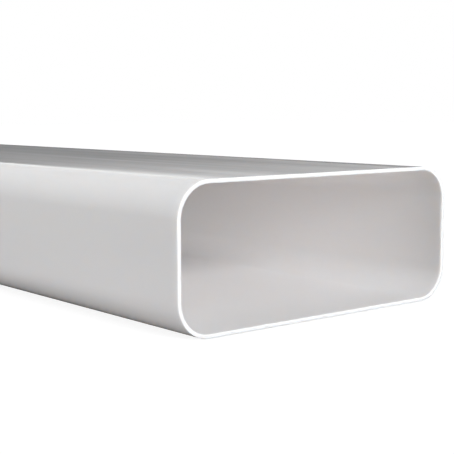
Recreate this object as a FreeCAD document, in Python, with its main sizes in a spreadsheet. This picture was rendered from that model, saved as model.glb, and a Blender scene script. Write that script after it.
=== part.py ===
"""Flat channel duct: one plain length of extruded PVC ventilation duct with rounded corners.

The duct lies on its wide underside. X runs across its width, Y along its length and Z up.
The origin is in the plane of the underside, halfway across and halfway along. Sizes are in mm.
"""

import FreeCAD
import Part
import Sketcher
import math
import os

# Driving dimensions: alias, value, what it measures
DIMENSIONS = (
    ("duct_width", 222.0, "outside, across the wide side"),
    ("duct_height", 89.0, "outside, across the narrow side"),
    ("duct_length", 1000.0, "from saw cut to saw cut"),
    ("wall_thickness", 2.4, "the same all round the section"),
    ("corner_radius", 22.0, "outside of each corner"),
    ("edge_break", 0.3, "deburred edge of the saw cuts, inside and outside"),
)
SHEET = "dimensions"
NODE = "channel_duct"

# A sketch's numbers for the points of a line or arc, and for its own horizontal axis,
# whose start is the sketch's origin
START, END, CENTRE = 1, 2, 3
HORIZONTAL_AXIS = ORIGIN = -1

QUARTER_TURN = math.pi / 2
SKETCH_NORMAL = FreeCAD.Vector(0, 0, 1)
LENGTHWISE = FreeCAD.Vector(0, 1, 0)
PARALLEL_TOLERANCE = math.radians(0.1)


def add_dimension_sheet(doc):
    """Writes the driving dimensions into a spreadsheet, one aliased cell each."""
    sheet = doc.addObject("Spreadsheet::Sheet", SHEET)
    for row, (alias, value, meaning) in enumerate(DIMENSIONS, start=1):
        sheet.set(f"A{row}", alias)
        sheet.set(f"B{row}", str(value))
        sheet.set(f"C{row}", meaning)
        sheet.setAlias(f"B{row}", alias)
    doc.recompute()
    return sheet


def add_rounded_rectangle(sketch, width, low, high, radius):
    """Draws a closed loop of four sides and four equal, tangent corner arcs.

    The loop is centred on the vertical axis and reaches from low to high. It returns the
    geometry numbers of the sides and arcs, anticlockwise from the bottom side.
    """
    right, left = width / 2, -width / 2
    corners = (
        (right - radius, low + radius, 3 * QUARTER_TURN),
        (right - radius, high - radius, 0.0),
        (left + radius, high - radius, QUARTER_TURN),
        (left + radius, low + radius, 2 * QUARTER_TURN),
    )
    arcs = []
    for x, y, start_angle in corners:
        circle = Part.Circle(FreeCAD.Vector(x, y, 0), SKETCH_NORMAL, radius)
        arc = Part.ArcOfCircle(circle, start_angle, start_angle + QUARTER_TURN)
        arcs.append(sketch.addGeometry(arc, False))

    # Each side runs from the end of the arc before it to the start of the arc after it.
    sides = []
    for after in range(len(arcs)):
        begin = sketch.getPoint(arcs[after - 1], END)
        finish = sketch.getPoint(arcs[after], START)
        sides.append(sketch.addGeometry(Part.LineSegment(begin, finish), False))

    for place, (side, arc) in enumerate(zip(sides, arcs)):
        direction = "Horizontal" if place % 2 == 0 else "Vertical"
        sketch.addConstraint(Sketcher.Constraint(direction, side))
        sketch.addConstraint(Sketcher.Constraint("Tangent", arcs[place - 1], END, side, START))
        sketch.addConstraint(Sketcher.Constraint("Tangent", side, END, arc, START))
    for arc in arcs[1:]:
        sketch.addConstraint(Sketcher.Constraint("Equal", arcs[0], arc))
    return sides, arcs


def bind(sketch, constraint, name, formula):
    """Adds a named dimension to a sketch and ties it to the sheet."""
    number = sketch.addConstraint(constraint)
    sketch.renameConstraint(number, name)
    sketch.setExpression(f"Constraints.{name}", f"{SHEET}.{formula}")


def draw_section(body, sheet):
    """Sketches the section: an outer loop standing on the ground and a concentric inner loop."""
    sketch = body.newObject("Sketcher::SketchObject", "section")
    plane = next(f for f in body.Origin.OriginFeatures if f.Role == "XZ_Plane")
    sketch.AttachmentSupport = [(plane, "")]
    sketch.MapMode = "FlatFace"

    width, height = sheet.duct_width, sheet.duct_height
    wall, radius = sheet.wall_thickness, sheet.corner_radius
    sides, arcs = add_rounded_rectangle(sketch, width, 0.0, height, radius)
    bottom, right, top, left = sides
    sketch.addConstraint(Sketcher.Constraint("PointOnObject", bottom, START, HORIZONTAL_AXIS))
    across = Sketcher.Constraint("DistanceX", left, START, right, START, width)
    to_right = Sketcher.Constraint("DistanceX", ORIGIN, START, right, START, width / 2)
    upwards = Sketcher.Constraint("DistanceY", bottom, START, top, START, height)
    bind(sketch, across, "outer_width", "duct_width")
    bind(sketch, to_right, "outer_half_width", "duct_width / 2")
    bind(sketch, upwards, "outer_height", "duct_height")
    bind(sketch, Sketcher.Constraint("Radius", arcs[0], radius), "outer_radius", "corner_radius")

    # The inner corners share their centres with the outer ones, so the wall is even all round.
    # Two opposite corners settle the other two.
    inner_sides, inner_arcs = add_rounded_rectangle(
        sketch, width - 2 * wall, wall, height - wall, radius - wall
    )
    for inner_arc, outer_arc in list(zip(inner_arcs, arcs))[::2]:
        shared = Sketcher.Constraint("Coincident", inner_arc, CENTRE, outer_arc, CENTRE)
        sketch.addConstraint(shared)
    through = Sketcher.Constraint("DistanceY", bottom, START, inner_sides[0], START, wall)
    bind(sketch, through, "wall", "wall_thickness")
    return sketch


def extrude(body, sketch):
    """Draws the section out to the duct's length, half of it each side of the origin."""
    pad = body.newObject("PartDesign::Pad", "extrusion")
    pad.Profile = sketch
    pad.SideType = "Symmetric"
    pad.setExpression("Length", f"{SHEET}.duct_length")
    sketch.Visibility = False
    body.Document.recompute()
    return pad


def is_saw_cut(face):
    """Tells the two flat ends, which face along the duct, from the walls."""
    return isinstance(face.Surface, Part.Plane) and face.Surface.Axis.isParallel(
        LENGTHWISE, PARALLEL_TOLERANCE
    )


def break_cut_edges(body, pad):
    """Chamfers every edge of the two saw cuts, round the outside and round the inside."""
    saw_cuts = [
        f"Face{number}"
        for number, face in enumerate(pad.Shape.Faces, start=1)
        if is_saw_cut(face)
    ]
    chamfer = body.newObject("PartDesign::Chamfer", "cut_edges")
    chamfer.Base = (pad, saw_cuts)
    chamfer.setExpression("Size", f"{SHEET}.edge_break")
    pad.Visibility = False
    body.Tip = chamfer
    body.Document.recompute()
    return chamfer


def check(doc, bodies):
    """Stops the build if an object failed or a sub-part isn't one valid solid."""
    for item in doc.Objects:
        if "Invalid" in item.State or "Error" in item.State:
            raise RuntimeError(f"{item.Label} failed: {item.State}")
    for body in bodies:
        shape = body.Shape
        if shape.isNull() or not shape.isValid() or len(shape.Solids) != 1:
            raise RuntimeError(f"{body.Label} isn't one valid solid")


def main():
    doc = FreeCAD.newDocument("flat_channel_duct")
    sheet = add_dimension_sheet(doc)

    body = doc.addObject("PartDesign::Body", NODE)
    body.Label = NODE
    section = draw_section(body, sheet)
    pad = extrude(body, section)
    break_cut_edges(body, pad)

    check(doc, [body])
    os.makedirs("parts", exist_ok=True)
    body.Shape.exportStep(f"parts/{body.Label}.step")
    box = body.Shape.BoundBox
    print(f"{body.Label}: {box.XLength:.2f} x {box.YLength:.2f} x {box.ZLength:.2f} mm")
    print(f"volume {body.Shape.Volume:.1f} mm3, section fully constrained: {section.FullyConstrained}")


main()
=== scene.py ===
"""Studio scene of the flat channel duct. Lengths are in metres, in the CAD frame:
X across the duct's width, Y along its length and Z up from the floor."""

import math

import bpy
from mathutils import Matrix, Vector


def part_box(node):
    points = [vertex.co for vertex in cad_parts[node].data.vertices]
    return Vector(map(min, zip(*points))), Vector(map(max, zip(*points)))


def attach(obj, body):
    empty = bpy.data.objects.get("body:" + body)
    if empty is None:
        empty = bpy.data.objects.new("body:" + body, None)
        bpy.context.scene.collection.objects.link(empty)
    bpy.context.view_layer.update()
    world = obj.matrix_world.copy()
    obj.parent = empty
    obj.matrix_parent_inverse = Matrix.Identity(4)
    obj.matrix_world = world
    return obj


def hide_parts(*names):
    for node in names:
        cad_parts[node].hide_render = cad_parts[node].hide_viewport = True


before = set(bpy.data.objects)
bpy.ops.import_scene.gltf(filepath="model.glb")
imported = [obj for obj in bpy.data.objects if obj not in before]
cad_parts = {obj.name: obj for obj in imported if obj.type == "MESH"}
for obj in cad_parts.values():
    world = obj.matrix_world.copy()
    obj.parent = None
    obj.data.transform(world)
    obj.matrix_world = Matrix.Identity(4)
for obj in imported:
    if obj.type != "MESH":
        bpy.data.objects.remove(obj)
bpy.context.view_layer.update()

QUARTER_TURN = math.pi / 2
WHITE = (1, 1, 1, 1)

# The duct, from the CAD node and from the sizes of its section
NODE = "channel_duct"
LOW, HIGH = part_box(NODE)
WIDTH, LENGTH, HEIGHT = HIGH - LOW
WALL = 0.0024
CORNER_RADIUS = 0.022
EDGE_BREAK = 0.0003

# How many steps the mesh takes along each stretch of the section, edge and length
CORNER_STEPS = 24
WIDE_STEPS = 10
NARROW_STEPS = 5
EDGE_STEPS = 4
LENGTH_STEPS = 20
# A ring this far behind each rounded edge keeps the walls' shading flat.
EDGE_SUPPORT = 0.0012

# Places of the finishes in the list of materials
OUTSIDE, INSIDE, SAWN = 0, 1, 2

# The plastic: how it bends light, and how far red, green and blue light goes into it
PLASTIC_IOR = 1.52
LIGHT_DEPTH = 0.006
LIGHT_DEPTH_SHARES = (1.0, 0.9, 0.82)

# Darkest and lightest shade of each finish. The inside's shades are partly the plastic's own
# mottle and partly painted light: they are lighter and warmer than the outside's, and stand in
# for the warm light that passes through the walls and bounces inside.
OUTSIDE_SHADES = ((0.922, 0.9, 0.93, 1), (0.942, 0.92, 0.95, 1))
INSIDE_SHADES_AND_PAINTED_LIGHT = ((0.955, 0.914, 0.905, 1), (0.975, 0.934, 0.925, 1))
SAWN_SHADES = ((0.85, 0.84, 0.84, 1), (0.88, 0.87, 0.87, 1))

# Lowest and highest roughness of each finish
OUTSIDE_ROUGHNESS = (0.085, 0.125)
INSIDE_ROUGHNESS = (0.5, 0.6)
SAWN_ROUGHNESS = (0.45, 0.6)

# Noises: scale, detail, and how many times longer they are along the duct
MOTTLE = (14, 3, 3)
DIE_LINES = (330, 3, 150)
SHEEN_STREAKS = (90, 4, 40)
WAVES = (22, 1, 12)
RIPPLES = (160, 2, 6)
GRAIN = (1500, 2, 1)
# Most of a noise lies between these values.
NOISE_LOW, NOISE_HIGH = 0.3, 0.7

# Heights of the relief
WAVE_HEIGHT = 0.0003
DIE_LINE_HEIGHT = 0.00002
RIPPLE_HEIGHT = 0.0001
SAW_MARK_HEIGHT = 0.00002
GRAIN_HEIGHT = 0.00002

# Marks of the saw on the cut rims
SAW_MARK_SCALE = 420
SAW_MARK_DISTORTION = 3
SAW_MARK_DETAIL = 3
SAW_MARK_SLANT = math.radians(20)

# The photograph's camera, measured from the middle of the front end. Yaw turns it right from
# the duct's length, pitch tilts it down and roll turns it clockwise. The sensor is in mm.
PICTURE_PIXELS = 454
FOCAL_PIXELS = 1063.6
SENSOR = 36.0
CAMERA_FROM_END = Vector((-0.4497, -0.4562, 0.0837))
CAMERA_YAW = math.radians(39.27)
CAMERA_PITCH = math.radians(6.44)
CAMERA_ROLL = math.radians(0.18)

# Lamps: name, azimuth from the front towards the left, elevation, level, apparent size.
# Level 1 lights a white surface that faces the lamp to white. Angles are in degrees.
LAMPS = (
    ("key", 4, 18, 1.2, 20),
    ("front_low", 12, 3, 0.17, 12),
    ("front_high", -4, 44, 0.11, 30),
    ("left_fill", 126, 7, 0.27, 60),
    ("right_fill", -90, 10, 0.37, 60),
    ("back_low", 168, 3, 0.97, 10),
)
# Strength of the world's light on the object
AMBIENT = 0.06

# The floor, which glows only where it is seen, and lies just below the duct
FLOOR_GREY = 0.22
FLOOR_GLOW = 0.88
FLOOR_SIZE = 12.0
FLOOR_DROP = 0.0003

# A card behind the duct and a mat between it and the floor, both dark, that only reflections
# show. The mat is partly painted shade: near the duct it stands in for the shaded floor under
# and beside it, and further out it is a dark flag on the floor.
CARD_GREY = 0.05
CARD_DISTANCE = 0.9
CARD_WIDTH = 3.0
CARD_HEIGHT = 0.2
CARD_FADE = 0.035
MAT_LIFT = 0.00015
MAT_LEFT, MAT_RIGHT = -0.125, 1.3
MAT_FRONT, MAT_BACK = -0.6, 1.5
# The mat's fade is painted shade that grows darker towards the duct.
MAT_FADE = 0.03


def rounded_loop(inset):
    """Points (x, z) round the section, anticlockwise, at this depth below the outside."""
    radius = CORNER_RADIUS - inset
    half_x = WIDTH / 2 - CORNER_RADIUS
    half_z = HEIGHT / 2 - CORNER_RADIUS
    # Each corner: its side across, its side up, and the quarter turn where its arc begins
    corners = ((1, -1, 3), (1, 1, 0), (-1, 1, 1), (-1, -1, 2))
    arcs = []
    for side_x, side_z, quarter in corners:
        centre = Vector((side_x * half_x, HEIGHT / 2 + side_z * half_z))
        arc = []
        for step in range(CORNER_STEPS + 1):
            angle = (quarter + step / CORNER_STEPS) * QUARTER_TURN
            arc.append(centre + radius * Vector((math.cos(angle), math.sin(angle))))
        arcs.append(arc)

    # After each corner comes the flat wall that leads to the next one.
    points = []
    next_arcs = arcs[1:] + arcs[:1]
    wall_steps = (NARROW_STEPS, WIDE_STEPS, NARROW_STEPS, WIDE_STEPS)
    for arc, next_arc, steps in zip(arcs, next_arcs, wall_steps):
        points += arc
        points += [arc[-1].lerp(next_arc[0], step / steps) for step in range(1, steps)]
    return points


def wall_outline():
    """Pairs (inset, y) round the wall cut lengthwise: outside, back rim, inside, front rim."""
    half = LENGTH / 2
    start = -half + EDGE_BREAK + EDGE_SUPPORT
    stretch = LENGTH - 2 * (EDGE_BREAK + EDGE_SUPPORT)
    outside = [
        (0.0, start + stretch * step / LENGTH_STEPS) for step in range(LENGTH_STEPS + 1)
    ]
    back_outer = []
    for step in range(EDGE_STEPS + 1):
        turn = QUARTER_TURN * step / EDGE_STEPS
        inset = EDGE_BREAK * (1 - math.cos(turn))
        back_outer.append((inset, half - EDGE_BREAK * (1 - math.sin(turn))))
    back_inner = [(WALL - inset, y) for inset, y in reversed(back_outer)]
    back = outside + back_outer + [(WALL / 2, half)] + back_inner
    front = [(WALL - inset, -y) for inset, y in back]
    return back + front


def band_finish(begin, end):
    """The finish of the wall between two neighbouring points (inset, y) of its outline."""
    inset, y = [(first + second) / 2 for first, second in zip(begin, end)]
    if abs(y) > LENGTH / 2 - EDGE_BREAK:
        return SAWN
    return OUTSIDE if inset < WALL / 2 else INSIDE


def build_duct():
    """Sweeps the section round the wall's outline into one closed mesh of four-sided faces."""
    outline = wall_outline()
    vertices = []
    for inset, y in outline:
        for x, z in rounded_loop(inset):
            vertices.append((x, y, z))
    around = len(vertices) // len(outline)
    faces = []
    finishes = []
    for ring in range(len(outline)):
        next_ring = (ring + 1) % len(outline)
        finishes += [band_finish(outline[ring], outline[next_ring])] * around
        for place in range(around):
            next_place = (place + 1) % around
            faces.append((
                ring * around + place,
                next_ring * around + place,
                next_ring * around + next_place,
                ring * around + next_place,
            ))
    mesh = bpy.data.meshes.new("duct_wall")
    mesh.from_pydata(vertices, [], faces)
    mesh.validate()
    mesh.shade_smooth()
    mesh.polygons.foreach_set("material_index", finishes)
    duct = bpy.data.objects.new("duct_wall", mesh)
    bpy.context.scene.collection.objects.link(duct)
    return duct


def new_material(name):
    """An empty node material, its node tree and its output node."""
    material = bpy.data.materials.new(name)
    material.use_nodes = True
    tree = material.node_tree
    tree.nodes.clear()
    output = tree.nodes.new("ShaderNodeOutputMaterial")
    return material, tree, output


def add_noise(tree, scale, detail, stretch):
    """A noise in the duct's own coordinates, drawn out along its length."""
    coordinates = tree.nodes.new("ShaderNodeTexCoord")
    mapping = tree.nodes.new("ShaderNodeMapping")
    mapping.inputs["Scale"].default_value = (1, 1 / stretch, 1)
    noise = tree.nodes.new("ShaderNodeTexNoise")
    noise.inputs["Scale"].default_value = scale
    noise.inputs["Detail"].default_value = detail
    tree.links.new(coordinates.outputs["Object"], mapping.inputs["Vector"])
    tree.links.new(mapping.outputs["Vector"], noise.inputs["Vector"])
    return noise.outputs["Fac"]


def add_range(tree, noise, low, high):
    """Spreads a noise from low to high."""
    spread = tree.nodes.new("ShaderNodeMapRange")
    spread.inputs["From Min"].default_value = NOISE_LOW
    spread.inputs["From Max"].default_value = NOISE_HIGH
    spread.inputs["To Min"].default_value = low
    spread.inputs["To Max"].default_value = high
    tree.links.new(noise, spread.inputs["Value"])
    return spread.outputs["Result"]


def add_shades(tree, noise, dark, light):
    """A colour that goes with a noise from dark to light."""
    ramp = tree.nodes.new("ShaderNodeValToRGB")
    ramp.color_ramp.elements[0].position = NOISE_LOW
    ramp.color_ramp.elements[0].color = dark
    ramp.color_ramp.elements[1].position = NOISE_HIGH
    ramp.color_ramp.elements[1].color = light
    tree.links.new(noise, ramp.inputs["Fac"])
    return ramp.outputs["Color"]


def add_bump(tree, relief, height, normal=None):
    """The normal of a relief of this height, which lies on another relief if one is given."""
    bump = tree.nodes.new("ShaderNodeBump")
    bump.inputs["Strength"].default_value = 1.0
    bump.inputs["Distance"].default_value = height
    tree.links.new(relief, bump.inputs["Height"])
    if normal is not None:
        tree.links.new(normal, bump.inputs["Normal"])
    return bump.outputs["Normal"]


def add_plastic(tree, output):
    """The shader that all finishes of the plastic share."""
    shader = tree.nodes.new("ShaderNodeBsdfPrincipled")
    shader.inputs["IOR"].default_value = PLASTIC_IOR
    shader.inputs["Subsurface Weight"].default_value = 1.0
    shader.inputs["Subsurface Radius"].default_value = LIGHT_DEPTH_SHARES
    shader.inputs["Subsurface Scale"].default_value = LIGHT_DEPTH
    tree.links.new(shader.outputs["BSDF"], output.inputs["Surface"])
    return shader


def outside_finish():
    """Outside of the walls: glossy, with slow waves and fine lines that the die drew."""
    material, tree, output = new_material("pvc_outside")
    shader = add_plastic(tree, output)
    mottle = add_noise(tree, *MOTTLE)
    die_lines = add_noise(tree, *DIE_LINES)
    sheen_streaks = add_noise(tree, *SHEEN_STREAKS)
    waves = add_noise(tree, *WAVES)
    colour = add_shades(tree, mottle, *OUTSIDE_SHADES)
    roughness = add_range(tree, sheen_streaks, *OUTSIDE_ROUGHNESS)
    normal = add_bump(tree, waves, WAVE_HEIGHT)
    normal = add_bump(tree, die_lines, DIE_LINE_HEIGHT, normal)
    tree.links.new(colour, shader.inputs["Base Color"])
    tree.links.new(roughness, shader.inputs["Roughness"])
    tree.links.new(normal, shader.inputs["Normal"])
    return material


def inside_finish():
    """Inside of the walls, which cooled without touching a tool: matt and faintly rippled, in
    shades painted lighter and warmer than the outside as painted light.
    """
    material, tree, output = new_material("pvc_inside")
    shader = add_plastic(tree, output)
    mottle = add_noise(tree, *MOTTLE)
    ripples = add_noise(tree, *RIPPLES)
    # Painted light: the inside's mottle is lighter and warmer than the outside's, standing in
    # for the warm light that passes through the walls and bounces inside.
    colour = add_shades(tree, mottle, *INSIDE_SHADES_AND_PAINTED_LIGHT)
    roughness = add_range(tree, ripples, *INSIDE_ROUGHNESS)
    normal = add_bump(tree, ripples, RIPPLE_HEIGHT)
    tree.links.new(colour, shader.inputs["Base Color"])
    tree.links.new(roughness, shader.inputs["Roughness"])
    tree.links.new(normal, shader.inputs["Normal"])
    return material


def add_saw_marks(tree):
    """Bands that slant across the cut rims."""
    coordinates = tree.nodes.new("ShaderNodeTexCoord")
    mapping = tree.nodes.new("ShaderNodeMapping")
    mapping.inputs["Rotation"].default_value = (0, SAW_MARK_SLANT, 0)
    marks = tree.nodes.new("ShaderNodeTexWave")
    marks.inputs["Scale"].default_value = SAW_MARK_SCALE
    marks.inputs["Distortion"].default_value = SAW_MARK_DISTORTION
    marks.inputs["Detail"].default_value = SAW_MARK_DETAIL
    tree.links.new(coordinates.outputs["Object"], mapping.inputs["Vector"])
    tree.links.new(mapping.outputs["Vector"], marks.inputs["Vector"])
    return marks.outputs["Fac"]


def sawn_finish():
    """Cut rims: matt and grainy, with the fine marks of the saw across them."""
    material, tree, output = new_material("pvc_sawn")
    shader = add_plastic(tree, output)
    saw_marks = add_saw_marks(tree)
    grain = add_noise(tree, *GRAIN)
    colour = add_shades(tree, grain, *SAWN_SHADES)
    roughness = add_range(tree, grain, *SAWN_ROUGHNESS)
    normal = add_bump(tree, saw_marks, SAW_MARK_HEIGHT)
    normal = add_bump(tree, grain, GRAIN_HEIGHT, normal)
    tree.links.new(colour, shader.inputs["Base Color"])
    tree.links.new(roughness, shader.inputs["Roughness"])
    tree.links.new(normal, shader.inputs["Normal"])
    return material


def seen_directly(tree):
    """1 for camera, glossy and transmission rays and 0 for the rays that light the object."""
    path = tree.nodes.new("ShaderNodeLightPath")
    value = path.outputs["Is Camera Ray"]
    for ray in ("Is Glossy Ray", "Is Transmission Ray"):
        larger = tree.nodes.new("ShaderNodeMath")
        larger.operation = "MAXIMUM"
        tree.links.new(value, larger.inputs[0])
        tree.links.new(path.outputs[ray], larger.inputs[1])
        value = larger.outputs[0]
    return value


def add_background(tree, strength):
    """An even white world of this strength."""
    background = tree.nodes.new("ShaderNodeBackground")
    background.inputs["Strength"].default_value = strength
    background.inputs["Color"].default_value = WHITE
    return background.outputs[0]


def add_world():
    """White where it is seen, and an even faint light on the object."""
    world = bpy.data.worlds.new("studio")
    world.use_nodes = True
    tree = world.node_tree
    tree.nodes.clear()
    output = tree.nodes.new("ShaderNodeOutputWorld")
    mix = tree.nodes.new("ShaderNodeMixShader")
    tree.links.new(seen_directly(tree), mix.inputs[0])
    tree.links.new(add_background(tree, AMBIENT), mix.inputs[1])
    tree.links.new(add_background(tree, 1.0), mix.inputs[2])
    tree.links.new(mix.outputs[0], output.inputs["Surface"])
    bpy.context.scene.world = world


def add_plane(name, corners, material):
    """One flat face that belongs to the studio and not to the duct."""
    mesh = bpy.data.meshes.new(name)
    mesh.from_pydata(corners, [], [tuple(range(len(corners)))])
    mesh.materials.append(material)
    plane = bpy.data.objects.new(name, mesh)
    bpy.context.scene.collection.objects.link(plane)
    return plane


def level_corners(left, right, front, back, z):
    """Corners of a level rectangle at this height."""
    return [(left, front, z), (right, front, z), (right, back, z), (left, back, z)]


def add_diffuse(tree, grey):
    """A plain matt grey."""
    diffuse = tree.nodes.new("ShaderNodeBsdfDiffuse")
    diffuse.inputs["Color"].default_value = (grey, grey, grey, 1)
    return diffuse.outputs[0]


def add_floor():
    """A floor that is seen as white, with a faint shadow of the duct on it."""
    material, tree, output = new_material("floor")
    glow = tree.nodes.new("ShaderNodeEmission")
    strength = tree.nodes.new("ShaderNodeMath")
    strength.operation = "MULTIPLY"
    strength.inputs[1].default_value = FLOOR_GLOW
    both = tree.nodes.new("ShaderNodeAddShader")
    tree.links.new(seen_directly(tree), strength.inputs[0])
    tree.links.new(strength.outputs[0], glow.inputs["Strength"])
    tree.links.new(add_diffuse(tree, FLOOR_GREY), both.inputs[0])
    tree.links.new(glow.outputs[0], both.inputs[1])
    tree.links.new(both.outputs[0], output.inputs["Surface"])
    half = FLOOR_SIZE / 2
    add_plane("floor", level_corners(-half, half, -half, half, -FLOOR_DROP), material)


def add_card(name, corners, axis, edge, fade):
    """A dark card that only reflections show, fading in along an axis from one of its edges."""
    material, tree, output = new_material(name)
    clear = tree.nodes.new("ShaderNodeBsdfTransparent")
    coordinates = tree.nodes.new("ShaderNodeTexCoord")
    place = tree.nodes.new("ShaderNodeSeparateXYZ")
    share = tree.nodes.new("ShaderNodeMapRange")
    share.inputs["From Min"].default_value = edge
    share.inputs["From Max"].default_value = edge + fade
    mix = tree.nodes.new("ShaderNodeMixShader")
    tree.links.new(coordinates.outputs["Object"], place.inputs[0])
    tree.links.new(place.outputs[axis], share.inputs["Value"])
    tree.links.new(share.outputs["Result"], mix.inputs[0])
    tree.links.new(clear.outputs[0], mix.inputs[1])
    tree.links.new(add_diffuse(tree, CARD_GREY), mix.inputs[2])
    tree.links.new(mix.outputs[0], output.inputs["Surface"])
    card = add_plane(name, corners, material)
    card.visible_camera = False
    card.visible_diffuse = False
    card.visible_shadow = False


def add_cards():
    """A card that stands behind the duct and a mat under it, for its outside to mirror; the mat
    is partly painted shade of the floor under and beside the duct.
    """
    away = Vector((math.sin(CAMERA_YAW), math.cos(CAMERA_YAW), 0))
    across = Vector((away.y, -away.x, 0))
    top = Vector((0, 0, CARD_HEIGHT))
    left = away * CARD_DISTANCE - across * CARD_WIDTH / 2
    right = left + across * CARD_WIDTH
    add_card("dark_card", [left, right, right + top, left + top], "Z", CARD_HEIGHT, -CARD_FADE)
    # Painted shade: in reflections the mat darkens the floor under and beside the duct, fading
    # in from its left edge.
    mat = level_corners(MAT_LEFT, MAT_RIGHT, MAT_FRONT, MAT_BACK, MAT_LIFT - FLOOR_DROP)
    add_card("painted_shade_mat", mat, "X", MAT_LEFT, MAT_FADE)


def add_lamp(name, azimuth, elevation, level, size):
    """A soft, even light from far away. Reflections show the white backdrop instead of it."""
    data = bpy.data.lights.new(name, "SUN")
    data.energy = level * math.pi
    data.angle = math.radians(size)
    lamp = bpy.data.objects.new(name, data)
    turn, rise = math.radians(azimuth), math.radians(elevation)
    towards = Vector((
        math.sin(turn) * math.cos(rise),
        math.cos(turn) * math.cos(rise),
        -math.sin(rise),
    ))
    lamp.rotation_mode = "QUATERNION"
    lamp.rotation_quaternion = towards.to_track_quat("-Z", "Y")
    lamp.visible_glossy = False
    bpy.context.scene.collection.objects.link(lamp)


def add_camera():
    """The photograph's camera, which looks into the front end from the left."""
    data = bpy.data.cameras.new("camera")
    data.sensor_width = SENSOR
    data.lens = SENSOR * FOCAL_PIXELS / PICTURE_PIXELS
    camera = bpy.data.objects.new("camera", data)
    front_end = Vector((0, LOW.y, HEIGHT / 2))
    turn = (
        Matrix.Rotation(-CAMERA_YAW, 4, "Z")
        @ Matrix.Rotation(QUARTER_TURN - CAMERA_PITCH, 4, "X")
        @ Matrix.Rotation(-CAMERA_ROLL, 4, "Z")
    )
    camera.matrix_world = Matrix.Translation(front_end + CAMERA_FROM_END) @ turn
    bpy.context.scene.collection.objects.link(camera)
    bpy.context.scene.camera = camera


duct = build_duct()
for finish in (outside_finish(), inside_finish(), sawn_finish()):
    duct.data.materials.append(finish)
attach(duct, "root")
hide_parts(NODE)

add_world()
add_floor()
add_cards()
for lamp in LAMPS:
    add_lamp(*lamp)
add_camera()
bpy.context.scene.view_settings.view_transform = "Standard"
